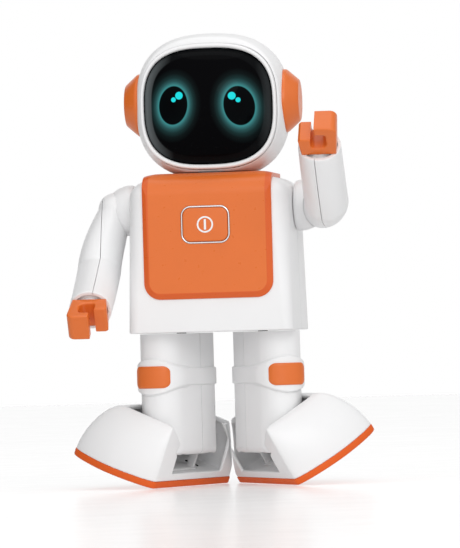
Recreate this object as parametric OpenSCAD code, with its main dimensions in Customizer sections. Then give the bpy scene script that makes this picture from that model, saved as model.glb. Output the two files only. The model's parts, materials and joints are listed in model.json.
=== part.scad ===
// Desktop coding robot: a humanoid with a visor face, three-piece limbs and boat-shaped shoes.
// It faces -Y, its left side is +X, and it stands on Z = 0 on the inner edges of its shoes.

/* [Stance] */
// Turn of the right leg, toes outward, degrees
toe_right = 22.8; // [10:0.2:23]
// Turn of the left leg, toes outward, degrees
toe_left = 33; // [10:0.2:33.4]
// Half the difference between the two shoes' lean, degrees
lean_split = 5.2; // [3:0.1:5.3]
// Lift of the left arm from hanging, degrees
arm_lift = 72; // [0:1:90]
// Turn of both arms towards the robot's left, degrees
arm_turn = 2.4; // [0:0.2:3]
// Turn of the head towards the robot's left, degrees
head_turn = 2; // [0:0.5:6]

/* [Head] */
// Width of the head shell
head_w = 91.4; // [90:0.2:93]
// Depth of the head shell
head_d = 85; // [84:0.5:87]
// Height of the full head form, before the neck is cut flat
head_h = 87; // [86:0.5:89]
// Height of the head's centre above the floor
head_z = 227.5; // [227:0.1:228.5]
// Squareness of the head form
head_n = 2.56; // [2.4:0.02:2.7]
// Height of the ear caps above the head's centre
ear_dz = 1.9; // [1:0.1:2.4]
// Height of the visor above the head's centre
face_dz = -1.1; // [-1.4:0.1:-0.6]
// Width of the visor
visor_w = 77; // [76:0.2:77.4]
// Height of the visor
visor_h = 69; // [68:0.2:69.4]
// Forward bulge of the visor
visor_bulge = 13; // [11:0.5:14]

/* [Torso] */
// Width of the torso at its base
torso_w = 98.8; // [98:0.2:100]
// Depth of the torso at its base
torso_d = 71; // [70:0.2:72]
// Height of the torso's underside
torso_z0 = 92.3; // [92:0.1:92.6]
// Height of the torso's top
torso_z1 = 184.6; // [184.4:0.1:184.8]
// Width of the chest panel
panel_w = 77.4; // [74:0.2:79]
// Height of the chest panel's lower edge
panel_z0 = 112; // [110:0.5:114]
// Thickness of the chest panel
panel_t = 2.4; // [2:0.1:2.6]
// Height of the power button's centre
button_z = 155.8; // [154:0.2:157]

/* [Arms] */
// Height of the shoulder axis
shoulder_z = 166.5; // [166:0.1:167]
// Length of the upper arm, shoulder to elbow
upper_l = 39; // [38:0.5:40]
// Forward slope of the upper arm from straight down, degrees
upper_a = 20; // [18:1:22]
// Length of the forearm, elbow to wrist
fore_l = 46; // [45:0.5:48]
// Forward slope of the forearm from straight down, degrees
fore_a = 60; // [58:1:62]
// Radius of the wrist opening's rim
wrist_r = 12.6; // [12.4:0.1:12.8]
// Thickness of the hand
hand_t = 15.8; // [15:0.2:16.4]

/* [Legs] */
// Distance of each leg's axis from the centre
leg_x = 24.8; // [24.6:0.1:25.2]
// Distance of the legs' axes behind the centre
leg_y = 9.3; // [9:0.1:9.6]
// Width of a leg
leg_w = 26; // [25.6:0.1:26.2]
// Height of the knee band's centre
knee_z = 66.1; // [64:0.5:68]

/* [Shoes] */
// Height of the ankle axis above the sole's underside
ankle_h = 28.6; // [28.4:0.1:28.8]
// Distance from the ankle axis to the sole's inner edge
inner_reach = 14; // [13.9:0.05:14.1]
// Width of a sole
sole_w = 60.4; // [59:0.2:61]
// Thickness of a sole
sole_t = 4.2; // [4:0.1:4.4]
// Height of the shoe's rim above the sole
rim_h = 33.5; // [33:0.1:34]

/* [Hidden] */

white = [0.93, 0.93, 0.94];
orange = [0.93, 0.42, 0.13];
black = [0.03, 0.03, 0.035];
steel = [0.75, 0.77, 0.8];
grey = [0.62, 0.65, 0.67];
servo_c = [0.12, 0.13, 0.16];
green = [0.05, 0.3, 0.18];
big = 400;

// The two soles touch the floor together when their leans are equal steps either side of lean_mid
lean_mid = atan(inner_reach / ankle_h);
ankle_z = norm([inner_reach, ankle_h]) * cos(lean_split);
ankle_dx = -3.66;          // the ankle servo's shaft sits inboard of the leg's middle
leg_bottom = ankle_z - 12.4;
leg_top = torso_z0 - 0.4;
leg_ls = 20;               // flat sides start this far in front of the leg's axis
leg_lf = 35.2;             // front of the leg
leg_lb = 17.4;             // back of the leg
leg_n = 2.2;
shell_t = 1.8;              // wall of the legs
wall_t = 2.2;               // wall of the head, torso and shoes
shoulder_x = 48;
button_x = -0.8;
visor_n = 2.82;             // squareness of the visor's outline
speaker_z = 160;
plate_in = 2.5;             // the base plate stops this far inside the torso's skin
pad_w = 23.2;
pad_h = 13.2;
shaft_r = 2.9;
panel_bevel = 3.4;         // width of the chest panel's sloping border
fit_r = 0.05;              // radial running clearance
split_y = 2;               // parting plane of the torso
head_split = 3;            // parting plane of the head
face_y = -22.5;            // front edge of the head shell
neck_cut = 187.6;

function lean(side) = side < 0 ? lean_mid - lean_split : lean_mid + lean_split;
function toe(side) = side < 0 ? toe_right : toe_left;
function sgn(x) = x < 0 ? -1 : 1;
function pw(x, e) = sgn(x) * pow(abs(x), e);
function squircle(a, b, n, k = 48) =
    [for (i = [0:k - 1]) let (t = (i + 0.5) * 360 / k) [a * pw(cos(t), 2 / n), b * pw(sin(t), 2 / n)]];
function turn(cx, cy, r, a0, a1, k = 5) =
    [for (i = [0:k]) let (t = a0 + (a1 - a0) * i / k) [cx + r * cos(t), cy + r * sin(t)]];
function corner(cx, cy, r, a0) = turn(cx, cy, r, a0, a0 + 90);
function round_rect(x0, y0, x1, y1, r) = concat(
    corner(x1 - r, y1 - r, r, 0), corner(x0 + r, y1 - r, r, 90),
    corner(x0 + r, y0 + r, r, 180), corner(x1 - r, y0 + r, r, 270));

// Closed skin through rings of equal length, each a list of [x, y, z]; the first and last rings are flat
module loft(rings) {
    n = len(rings[0]);
    m = len(rings);
    pts = [for (r = rings) for (p = r) p];
    polyhedron(pts, concat([[for (i = [0:n - 1]) i]], [[for (i = [n - 1:-1:0]) (m - 1) * n + i]],
        [for (j = [0:m - 2]) for (i = [0:n - 1]) let (k = (i + 1) % n)
            [j * n + i, (j + 1) * n + i, (j + 1) * n + k]],
        [for (j = [0:m - 2]) for (i = [0:n - 1]) let (k = (i + 1) % n)
            [j * n + i, (j + 1) * n + k, j * n + k]]),
        convexity = 6);
}
function lift(outline, z) = [for (p = outline) [p[0], p[1], z]];
module flip(side) { if (side < 0) mirror([1, 0, 0]) children(); else children(); }
module in_head() { rotate([0, 0, head_turn]) translate([0, 0, head_z]) children(); }
module in_leg(side) {
    translate([side * leg_x, leg_y, 0]) rotate([0, 0, side * toe(side)]) flip(side) children();
}
module in_foot(side) {
    in_leg(side) translate([ankle_dx, 0, ankle_z]) rotate([0, -lean(side), 0]) children();
}
module in_shoulder(side, turn = 0) {
    translate([side * shoulder_x, 0, shoulder_z]) rotate([0, 0, turn])
        rotate([side > 0 ? -arm_lift : 0, 0, 0]) flip(side) children();
}
module in_arm(side) { in_shoulder(side, arm_turn) children(); }
// a slab drawn in the X-Z plane, from y0 to y1
module along_y(y0, y1) { translate([0, y1, 0]) rotate([90, 0, 0]) linear_extrude(y1 - y0) children(); }
// a slab drawn in the Y-Z plane, from x0 to x1
module along_x(x0, x1) { translate([x0, 0, 0]) rotate([90, 0, 90]) linear_extrude(x1 - x0) children(); }
module rod_y(r, y0, y1, f = 32) {
    translate([0, y0, 0]) rotate([-90, 0, 0]) cylinder(r = r, h = y1 - y0, $fn = f);
}
module rod_x(r, x0, x1, f = 32) {
    translate([x0, 0, 0]) rotate([0, 90, 0]) cylinder(r = r, h = x1 - x0, $fn = f);
}
module box(x0, y0, z0, x1, y1, z1) { translate([x0, y0, z0]) cube([x1 - x0, y1 - y0, z1 - z0]); }

// ---------- head ----------
// A rounded block: rings of a squircle that shrink towards both poles by the same power law
module rounded_block(a, b, c, n, nu = 40, nv = 18) {
    rings = [for (j = [1:nv - 1]) let (p = -90 + 180 * j / nv)
        for (i = [0:nu - 1]) let (t = (i + 0.5) * 360 / nu, s = pow(cos(p), 2 / n))
            [a * pw(cos(t), 2 / n) * s, b * pw(sin(t), 2 / n) * s, c * pw(sin(p), 2 / n)]];
    pts = concat(rings, [[0, 0, -c], [0, 0, c]]);
    m = nu * (nv - 1);
    faces = concat(
        [for (j = [0:nv - 3]) for (i = [0:nu - 1]) let (k = (i + 1) % nu)
            [j * nu + i, (j + 1) * nu + i, (j + 1) * nu + k]],
        [for (j = [0:nv - 3]) for (i = [0:nu - 1]) let (k = (i + 1) % nu)
            [j * nu + i, (j + 1) * nu + k, j * nu + k]],
        [for (i = [0:nu - 1]) [m, i, (i + 1) % nu]],
        [for (i = [0:nu - 1]) [m + 1, m - nu + (i + 1) % nu, m - nu + i]]);
    polyhedron(pts, faces, convexity = 4);
}
module head_form(g) { rounded_block(head_w / 2 + g, head_d / 2 + g, head_h / 2 + g, head_n); }
module head_shell() {
    difference() {
        head_form(0);
        head_form(-wall_t);
        box(-big, -big, -big, big, big, neck_cut - head_z);
        translate([0, 0, -60]) cylinder(r = 15, h = 30, $fn = 48);
        translate([0, 0, ear_dz]) rod_x(19.1, -60, 60, 48);
        translate([0, 0, face_dz]) along_y(-60, 0) polygon(squircle(41, 37.6, 2.8));
        box(-big, -big, -big, big, face_y, big);
    }
}
module head_shell_front() {
    color(white) in_head() intersection() { head_shell(); box(-big, -big, -big, big, head_split - 0.1, big); }
}
module screw_spots() { for (x = [-22, 22]) for (z = [-18, 16]) translate([x, 0, z]) children(); }
module head_shell_rear() {
    color(white) in_head() difference() {
        intersection() { head_shell(); box(-big, head_split + 0.1, -big, big, big, big); }
        screw_spots() rod_y(2.5, 20, 60);
    }
}
module head_screws() {
    color(steel) in_head() screw_spots() difference() {
        rod_y(2.2, 32, 37.4);
        box(-1.4, 36.6, -0.3, 1.4, 38, 0.3);
    }
}
module face_bezel() {
    color(white) in_head() translate([0, 0, face_dz]) along_y(-26.6, -21.4) difference() {
        polygon(squircle(40.8, 37.4, 2.8));
        polygon(squircle(visor_w / 2 + 0.15, visor_h / 2 + 0.15, visor_n));
    }
}
// Domed visor: an outer and an inner bowl of squircle rings, joined at the rim
module visor() {
    k = 40;
    lv = [1, 0.97, 0.9, 0.78, 0.6, 0.38, 0.16];
    outer = [for (s = lv) for (p = squircle(visor_w / 2 * s, visor_h / 2 * s, visor_n, k))
        [p[0], -24.4 - visor_bulge * (1 - pow(s, 2.4)), p[1]]];
    inner = [for (s = lv) for (p = squircle((visor_w / 2 - 2) * s, (visor_h / 2 - 2) * s, visor_n, k))
        [p[0], -22 - visor_bulge * (1 - pow(s, 2.4)), p[1]]];
    m = len(lv);
    n1 = m * k;
    pts = concat(outer, inner, [[0, -24.4 - visor_bulge, 0], [0, -22 - visor_bulge, 0]]);
    faces = concat(
        [for (j = [0:m - 2]) for (i = [0:k - 1]) let (q = (i + 1) % k)
            [j * k + i, (j + 1) * k + i, (j + 1) * k + q, j * k + q]],
        [for (i = [0:k - 1]) [(m - 1) * k + i, 2 * n1, (m - 1) * k + (i + 1) % k]],
        [for (j = [0:m - 2]) for (i = [0:k - 1]) let (q = (i + 1) % k)
            [n1 + j * k + q, n1 + (j + 1) * k + q, n1 + (j + 1) * k + i, n1 + j * k + i]],
        [for (i = [0:k - 1]) [n1 + (m - 1) * k + (i + 1) % k, 2 * n1 + 1, n1 + (m - 1) * k + i]],
        [for (i = [0:k - 1]) let (q = (i + 1) % k) [i, q, n1 + q, n1 + i]]);
    color(black) in_head() translate([0, 0, face_dz]) polyhedron(pts, faces, convexity = 4);
}
module eye_board() {
    color(green) in_head() difference() {
        union() {
            box(-31, -20.4, -25, 31, -18.8, 23);
            for (x = [-20, 20]) box(x - 4, -18.8, -6, x + 4, -17.4, 4);
        }
        for (x = [-27, 27]) for (z = [-21, 19]) translate([x, 0, z]) rod_y(1.6, -30, 0);
    }
}
module eye_diffusers() {
    color([0.2, 0.85, 0.85]) in_head() for (s = [-1, 1]) translate([s * 19.7, 0, face_dz + 0.6 - s * 0.7])
        along_y(-26, -20.45) polygon(squircle(9.2, 11.8, 2, 32));
}
module ear_cap(side) {
    color(orange) in_head() translate([0, 0, ear_dz]) flip(side) rotate([0, 90, 0]) rotate_extrude($fn = 64)
        polygon([[0, 50.4], [0, 52.6], [12.1, 52.6], [18.8, 45],
            [18.8, 41.4], [16.6, 41.4], [16.6, 44.2], [11, 50.4]]);
}
module ear_cap_left() ear_cap(1);
module ear_cap_right() ear_cap(-1);
module neck_collar() {
    color(grey) rotate([0, 0, head_turn]) difference() {
        union() {
            translate([0, 0, torso_z1 + 0.4]) cylinder(r = 21, h = neck_cut - torso_z1 - 0.5, $fn = 64);
            translate([0, 0, torso_z1 + 1]) cylinder(r = 14.8, h = neck_cut - torso_z1 + 3, $fn = 48);
        }
        translate([0, 0, 180]) cylinder(r = shaft_r + fit_r, h = 30, $fn = 32);
    }
}

// ---------- torso ----------
torso_r = 11.2;
top_rx = 18;               // sideways reach of the torso's rounded top edges
// rounded box whose sides lean in a little towards the top; g offsets its skin
function torso_ring(z, in_x, in_y, c, g) = lift(round_rect(in_x - torso_w / 2 - g, in_y - torso_d / 2 - g,
    torso_w / 2 + g - in_x, torso_d / 2 + g - in_y, c), z);
module torso_form(g) {
    r = torso_r + g;
    loft(concat([torso_ring(torso_z0 + min(0, g), 0, 0, 6 + g, g)],
        [for (a = [0, 16, 32, 48, 64, 78, 88])
            torso_ring(torso_z1 - torso_r + r * sin(a), 1.4 + (top_rx + g) * (1 - cos(a)),
                0.6 + r * (1 - cos(a)), max(r * cos(a), 0.3), g)]));
}
module torso_shell() {
    difference() {
        torso_form(0);
        torso_form(-wall_t);
        translate([0, 0, torso_z1 - 10]) cylinder(r = 5, h = 20, $fn = 32);
        translate([0, 0, shoulder_z]) rod_x(5, -60, 60);
        translate([button_x, 0, button_z]) rod_y(3.2, -60, 0);
    }
}
module torso_screw_spots() { for (x = [-41, 41]) for (z = [100, 140]) translate([x, 0, z]) children(); }
module board_spots() { for (x = [-31, 31]) for (z = [119, 169]) translate([x, 0, z]) children(); }
module torso_shell_front() {
    color(white) difference() {
        union() {
            intersection() { torso_shell(); box(-big, -big, 0, big, split_y - 0.1, big); }
            torso_screw_spots() rod_y(3.2, -34, split_y - 0.1);
            board_spots() rod_y(2.4, -34, -22.05);
        }
        torso_screw_spots() rod_y(1.25, -12, split_y);
    }
}
module door_opening(g) { along_y(20, 60) polygon(round_rect(-30 - g, 98 - g, 30 + g, 148 + g, 4)); }
module torso_shell_rear() {
    color(white) difference() {
        union() {
            intersection() { torso_shell(); box(-big, split_y + 0.1, 0, big, big, big); }
            torso_screw_spots() rod_y(3.2, split_y + 0.1, 33.4);
        }
        door_opening(0.3);
        for (i = [-4:4]) translate([0, 0, speaker_z + i * 2.3])
            box(-9 + abs(i) * 0.9, 20, -0.6, 9 - abs(i) * 0.9, 60, 0.6);
        along_y(20, 60) polygon(round_rect(33.6, 111.6, 43.4, 115.8, 2));
        torso_screw_spots() rod_y(2.5, 31.5, 60);
        torso_screw_spots() rod_y(1.4, 0, 60);
    }
}
module base_plate() {
    color(white) difference() {
        translate([0, 0, torso_z0]) linear_extrude(2.8)
            polygon(round_rect(plate_in - torso_w / 2, plate_in - torso_d / 2,
                torso_w / 2 - plate_in, torso_d / 2 - plate_in, 4));
        for (s = [-1, 1]) translate([s * leg_x, leg_y, 80]) cylinder(r = 5, h = 30, $fn = 32);
    }
}
function panel_outline(g) = concat(corner(panel_w / 2 - 10, panel_z0 + 10, 10 - g, 270),
    [[panel_w / 2 - g, 200], [-panel_w / 2 + g, 200]], corner(-panel_w / 2 + 10, panel_z0 + 10, 10 - g, 180));
module panel_region() {
    difference() {
        loft([for (v = [[4, 0], [-torso_d / 2 - 0.5, 0], [-torso_d / 2 - panel_t, panel_bevel],
            [-60, panel_bevel]]) [for (p = panel_outline(v[1])) [p[0], v[0], p[1]]]]);
        cylinder(r = 23.5, h = big, $fn = 64);
    }
}
module button_rect(w, h, r) {
    translate([button_x, button_z]) polygon(round_rect(-w / 2, -h / 2, w / 2, h / 2, r));
}
module chest_panel() {
    color(orange) difference() {
        intersection() { torso_form(panel_t); panel_region(); }
        torso_form(0.1);
        along_y(-60, -20) button_rect(29.6, 22.7, 6);
    }
}
module button_ring() {
    color(steel) along_y(-38, -35.15) difference() {
        button_rect(29.3, 22.4, 5.8);
        button_rect(27.1, 20.2, 4.8);
    }
}
module power_button() {
    color(orange) union() {
        along_y(-38.6, -36.3) button_rect(26.8, 19.9, 4.6);
        translate([button_x, 0, button_z]) rod_y(2.6, -36.5, -26.8);
    }
}
module power_icon() {
    color(white) translate([button_x, -38.6, button_z]) rotate([90, 0, 0]) linear_extrude(0.3) {
        difference() { circle(r = 4.9, $fn = 48); circle(r = 3.9, $fn = 48); }
        translate([-0.65, -3.1]) square([1.3, 6.2]);
    }
}
module main_board() {
    color(green) difference() {
        union() {
            box(-34, -22, 116, 34, -20.4, 172);
            box(-4, -25.5, 152.8, 2.2, -21.9, 158.8);
            box(-22, -24, 120, -8, -21.9, 134);
            box(6, -23.6, 120, 26, -21.9, 130);
            box(12, -25, 138, 28, -21.9, 146);
        }
        board_spots() rod_y(1.3, -30, 0);
    }
}
// Small servo: a case with its shaft on +Z at the origin
module servo(shaft, len, r = shaft_r) {
    box(-6, -6, -23, 6, 17, 0);
    box(-6, -8.5, -7, 6, -6.1, -5);
    box(-6, 17.1, -7, 6, 19.5, -5);
    box(-5, -8.5, -7, 5, 19.5, -5);
    cylinder(r = 5.6, h = 1.2, $fn = 32);
    cylinder(r = r, h = shaft, $fn = 32);
}
module neck_servo() { color(servo_c) translate([0, 0, torso_z1 - 4]) rotate([0, 0, 90]) servo(9.2); }
module shoulder_servo(side) {
    color(servo_c) flip(side) translate([43.5, 0, shoulder_z])
        rotate([0, 90, 0]) rotate([0, 0, -90]) servo(9);
}
module shoulder_servo_left() shoulder_servo(1);
module shoulder_servo_right() shoulder_servo(-1);
module hip_servo(side) {
    color(servo_c) translate([side * leg_x, leg_y, torso_z0 + 4.6]) flip(side)
        mirror([0, 0, 1]) rotate([0, 0, 180]) servo(8.6);
}
module hip_servo_left() hip_servo(1);
module hip_servo_right() hip_servo(-1);
module battery_pack() {
    color([0.15, 0.3, 0.62]) union() {
        for (z = [107.6, 122.6, 137.6]) translate([0, 24.6, z]) rod_x(7.2, -27, 27, 36);
        box(-27, 18.2, 101.6, 27, 24.6, 143.6);
    }
}
module battery_door() {
    color(white) intersection() {
        difference() { torso_form(-0.1); torso_form(-2); }
        door_opening(0);
    }
}
module speaker() {
    color(black) translate([0, 0, speaker_z]) union() { rod_y(9, 21, 25); rod_y(11, 25, 30.5, 48); }
}
module charge_port() {
    color(steel) difference() {
        along_y(27, 35) polygon(round_rect(34, 112, 43, 115.4, 1.65));
        along_y(29, 60) polygon(round_rect(34.4, 112.4, 42.6, 115, 1.25));
    }
}
module torso_screws() {
    color(steel) torso_screw_spots() difference() {
        union() { rod_y(2.2, 31.6, 33.8); rod_y(1.2, -10, 31.7); }
        box(-1.4, 33, -0.3, 1.4, 36, 0.3);
    }
}

// ---------- arms, in a frame on the shoulder axis with the arm hanging ----------
elbow = [22.3, -upper_l * sin(upper_a), -upper_l * cos(upper_a)];
wrist = [22.4, elbow[1] - fore_l * sin(fore_a), elbow[2] - fore_l * cos(fore_a)];
module in_wrist() { translate(wrist) rotate([90 - fore_a, 0, 0]) children(); }
// A section of the arm at t, from 0 at the shoulder to 1 at the wrist: [lean, centre, half-width, half-depth]
function arm_lean(t) = 4 + (fore_a - 4) * min(1, pow(t / 0.72, 1.3));
function arm_at(t) = t < 0.5
    ? let (u = 2 * t) [arm_lean(t),
        [elbow[0] - 9.1 * pow(1 - u, 1.6), elbow[1] * pow(u, 1.4), 1 + (elbow[2] - 1) * u],
        13 - 2.8 * pow(1 - u, 2.5), 13.6]
    : let (u = 2 * t - 1) [arm_lean(t), elbow + (wrist - elbow) * u - [0, 0, 3.4 * u * (1 - u)],
        13 - (13 - wrist_r) * u, 13.6 - (13.6 - wrist_r) * u];
function arm_ring(t, g, back = 0, s = 1, n = 28) = let (a = arm_at(t), c = a[1], lean = a[0])
    [for (i = [0:n - 1])
        let (w = 360 * (i + 0.5) / n, px = (a[2] + g) * s * cos(w), py = (a[3] + g) * s * sin(w))
        [c[0] + px, c[1] - py * cos(lean) + back * sin(lean), c[2] + py * sin(lean) + back * cos(lean)]];
module arm_form(g, past = 0) {
    loft(concat(
        [for (a = [84, 66, 50, 35, 20, 8]) arm_ring(0, g, (10 + g) * sin(a), cos(a))],
        [for (t = [0, 0.12, 0.24, 0.36, 0.46, 0.54, 0.64, 0.76, 0.88, 1])
            arm_ring(t, g, t == 1 ? -past : 0)]));
}
hub_face = 4.6;            // where the arm's shell meets the shoulder hub's disc
arm_split = 20;            // parting plane of the arm's two halves
module arm_shell() {
    difference() {
        arm_form(0);
        arm_form(-2, 3);
        box(-big, -big, -20, hub_face, big, 20);
        rod_x(3.2, 0, 12);
    }
}
module arm_outer(side) {
    color(white) in_arm(side) intersection() {
        arm_shell();
        box(arm_split, -big, -big, big, big, big);
    }
}
module arm_inner(side) {
    color(white) in_arm(side) intersection() {
        arm_shell();
        box(-big, -big, -big, arm_split - 0.15, big, big);
    }
}
module arm_shell_outer_left() arm_outer(1);
module arm_shell_outer_right() arm_outer(-1);
module arm_shell_inner_left() arm_inner(1);
module arm_shell_inner_right() arm_inner(-1);
// Domed cap on the shaft: the arm's shell grows out of it
module shoulder_hub(side) {
    color(white) difference() {
        in_shoulder(side) rotate([0, 90, 0]) rotate_extrude($fn = 64)
            polygon([[0, 0.5], [13.8, 0.5], [14.8, 1.3], [15.2, 3.4], [14.9, 6.6], [14, 9.8],
                [12.5, 12.6], [10.3, 15], [7.2, 17], [3.6, 18.2], [0, 18.6]]);
        in_arm(side) difference() {
            arm_form(0.15);
            box(-big, -big, -big, hub_face - 0.1, big, big);
        }
        in_shoulder(side) rod_x(shaft_r + fit_r, 0, 6);
    }
}
module shoulder_hub_left() shoulder_hub(1);
module shoulder_hub_right() shoulder_hub(-1);
module wrist_plug(side) {
    color(white) in_arm(side) in_wrist() union() {
        rod_y(wrist_r - 2.5, 2.4, 5.2, 48);
        rod_y(7.6, 0.05, 2.6);
    }
}
module wrist_plug_left() wrist_plug(1);
module wrist_plug_right() wrist_plug(-1);
// Hook outline in the X-Y plane: a thick finger whose tip turns inward over a round pocket, and a short thumb
hand_l = 21;
module hand_outline() {
    polygon(concat([[10.2, 0]], turn(7.2, 4.3 - hand_l, 4.3, 0, -90), [[-1.4, -hand_l], [-1.4, -15.5]],
        turn(3.2, -13.7, 1.8, -90, 0), turn(1.4, -8.8, 3.6, 0, 90), turn(-1.8, -7.5, 2.3, 90, 180),
        [[-4.1, -12.4], [-10.1, -12.4], [-11.4, -11], [-10.2, 0]]));
}
module hand(side) {
    color(orange) in_arm(side) in_wrist() translate([0, 0, -hand_t / 2])
        linear_extrude(hand_t) hand_outline();
}
module hand_left() hand(1);
module hand_right() hand(-1);

// ---------- legs, in a frame on the leg's own axis ----------
function leg_outline(g, k = 20) = concat(
    [for (i = [0:k]) let (t = 180 * i / k) [(leg_w / 2 + g) * pw(cos(t), 2 / leg_n),
        -leg_ls - (leg_lf - leg_ls + g) * pow(sin(t), 2 / leg_n)]],
    [for (v = [[-1, 0, 3], [-1, 0.9, 0.9], [-1, 3, 0], [1, 3, 0], [1, 0.9, 0.9], [1, 0, 3]])
        [v[0] * (leg_w / 2 + g - v[1]), leg_lb + g - v[2]]]);
module leg_solid(g, z0, z1) { translate([0, 0, z0]) linear_extrude(z1 - z0) polygon(leg_outline(g)); }
// the same, with its lower edges rounded across the leg
module leg_round(g, z0, z1, r) {
    intersection() {
        leg_solid(g, z0, z1);
        along_y(-60, 60) polygon(concat([[leg_w / 2 + g, z1], [-leg_w / 2 - g, z1]],
            corner(-leg_w / 2 - g + r, z0 + r, r, 180), corner(leg_w / 2 + g - r, z0 + r, r, 270)));
    }
}
module leg_shell() {
    difference() {
        leg_round(0, leg_bottom, leg_top, 4);
        leg_round(-shell_t, leg_bottom + shell_t, leg_top + 1, 2.4);
        for (y = [-20.4, 9.6]) box(-11, y, leg_bottom - 1, 8.4, y + 5, leg_bottom + 3);
    }
}
module leg_front(side) {
    color(white) in_leg(side) intersection() { leg_shell(); box(-big, -big, 0, big, -0.1, big); }
}
module leg_rear(side) {
    color(white) in_leg(side) intersection() { leg_shell(); box(-big, 0.1, 0, big, big, big); }
}
module leg_shell_front_left() leg_front(1);
module leg_shell_front_right() leg_front(-1);
module leg_shell_rear_left() leg_rear(1);
module leg_shell_rear_right() leg_rear(-1);
module oval(w, h) { translate([0, knee_z]) scale([w / 2, h / 2]) circle(r = 1, $fn = 36); }
module pad_cut(g, y1 = -18) {
    along_y(-60, y1) translate([0, knee_z])
        polygon(round_rect(-pad_w / 2 - g, -pad_h / 2 - g, pad_w / 2 + g, pad_h / 2 + g, 3.6));
}
module knee_band(side) {
    color(white) in_leg(side) difference() {
        union() {
            leg_solid(1.2, knee_z - 5.5, knee_z + 5.5);
            intersection() { leg_solid(2.1, knee_z - 11.6, knee_z + 11.6); along_y(-60, -19.4) oval(33, 23); }
        }
        leg_solid(0.08, 0, 200);
        difference() { pad_cut(0.15); leg_solid(0.9, 0, 200); }
    }
}
module knee_band_left() knee_band(1);
module knee_band_right() knee_band(-1);
module knee_pad(side) {
    color(orange) in_leg(side) difference() {
        intersection() { leg_solid(2.5, knee_z - 10, knee_z + 10); pad_cut(0, -19); }
        leg_solid(1, 0, 200);
    }
}
module knee_pad_left() knee_pad(1);
module knee_pad_right() knee_pad(-1);
module ankle_servo(side) {
    color(servo_c) in_leg(side) translate([ankle_dx, 0, ankle_z]) union() {
        box(-7.2, -14, -6, 14.6, 8, 6);
        rod_y(4.4, -15.6, -13.9);
        rod_y(2.4, -19.6, -13.9);
        rod_y(1.6, 7.9, 13.6);
    }
}
module ankle_servo_left() ankle_servo(1);
module ankle_servo_right() ankle_servo(-1);
module hip_flange(side) {
    color(grey) in_leg(side) difference() {
        leg_solid(-shell_t - 0.1, leg_top - 3.6, leg_top - 0.1);
        translate([0, 0, 50]) cylinder(r = shaft_r + fit_r, h = 60, $fn = 32);
    }
}
module hip_flange_left() hip_flange(1);
module hip_flange_right() hip_flange(-1);

// ---------- shoes, in a frame on the ankle axis ----------
sole_xc = sole_w / 2 - inner_reach;
toe_y0 = -44.8;
toe_d = 10.5;
heel_y = 39.2;
bz = sole_t - ankle_h;      // top face of the sole
shoe_gap = 1;               // each heel is trimmed this far from the plane between the shoes
function sole_outline(g, k = 22) = concat(
    turn(sole_xc + sole_w / 2 - g - 9, heel_y - g - 9, 9, 0, 90),
    turn(g + 2 - inner_reach, heel_y - g - 2, 2, 90, 180, 3),
    [for (i = [0:k]) let (t = 180 - 180 * i / k)
        [sole_xc + (sole_w / 2 - g) * pw(cos(t), 1.2), toe_y0 - (toe_d - g) * pow(sin(t), 1.2)]]);
module sole(side) {
    color(orange) in_foot(side) difference() {
        translate([0, 0, -ankle_h]) linear_extrude(sole_t) polygon(sole_outline(0));
        for (y = [-40:8:32]) box(-9, y, -ankle_h - 1, 42, y + 2.4, -ankle_h + 0.9);
    }
}
module sole_left() sole(1);
module sole_right() sole(-1);
// rim of the shoe's opening, point for point with the sole's outline
function rim_outline(g, k = 22) = concat(
    turn(19.4 - g, 23 - g, 8, 0, 90),
    turn(g - 6, 27 - g, 4, 90, 180, 3),
    [for (i = [0:k]) let (t = 180 - 180 * i / k)
        [8.7 + (18.7 - g) * cos(t), -37.3 + g * 0.5 - 0.6 * sin(t)]]);
function crown(t) = 1 - pow(1 - pow(t, 1.6), 1 / 1.6);
// Smooth dome from the sole's outline up to the rim; g is how far inside the outer skin
module shoe_form(g, z0, z1) {
    low = sole_outline(0.3 + g);
    high = rim_outline(g);
    loft([for (t = [0, 0.2, 0.4, 0.58, 0.74, 0.87, 0.96, 1]) let (w = crown(t))
        lift([for (i = [0:len(low) - 1]) low[i] * (1 - w) + high[i] * w], z0 + (z1 - z0) * t)]);
}
// what the leg sweeps inside the shoe
module leg_sweep() {
    for (a = [10, 17, 25, 32]) rotate([0, a, 0]) translate([-ankle_dx, 0, 0])
        translate([0, 0, -13]) linear_extrude(60) polygon(leg_outline(0.7, 12));
}
module shoe_upper(side) {
    color(white) difference() {
        in_foot(side) difference() {
            shoe_form(0, bz, bz + rim_h);
            shoe_form(wall_t, bz + 2, bz + rim_h - 2.4);
            translate([0, 0, bz + 14]) linear_extrude(60) polygon(rim_outline(1.8));
            along_x(-40, -8) polygon([[-38.6, bz + 60], [-38.6, bz + 34], [-27.3, bz + 23.8], [-29, bz + 4.3],
                [26.2, bz + 4.3], [28.3, bz + 23.8], [18.6, bz + 34], [18.6, bz + 60]]);
            leg_sweep();
            box(1.2, 22.6, bz - 1, 11.2, 24.2, bz + 3);
        }
        flip(side) box(-60, -90, -10, shoe_gap, 90, 90);
    }
}
module shoe_upper_left() shoe_upper(1);
module shoe_upper_right() shoe_upper(-1);
module ankle_bracket(side) {
    color(white) in_foot(side) difference() {
        union() {
            box(-4, -19.2, bz + 2.05, 8, 13.2, bz + 3.2);
            for (y = [-19.2, 11.2]) {
                box(-2.5, y, bz + 3, 2.5, y + 2, 0);
                rod_y(4.6, y, y + 2);
            }
        }
        rod_y(2.4 + fit_r, -20, -16);
        rod_y(1.6 + fit_r, 10, 14);
    }
}
module ankle_bracket_left() ankle_bracket(1);
module ankle_bracket_right() ankle_bracket(-1);
module shoe_grommet(side) {
    color(black) in_foot(side) box(1.3, 22.7, bz + 0.05, 11.1, 24.1, bz + 2.5);
}
module shoe_grommet_left() shoe_grommet(1);
module shoe_grommet_right() shoe_grommet(-1);

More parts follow.
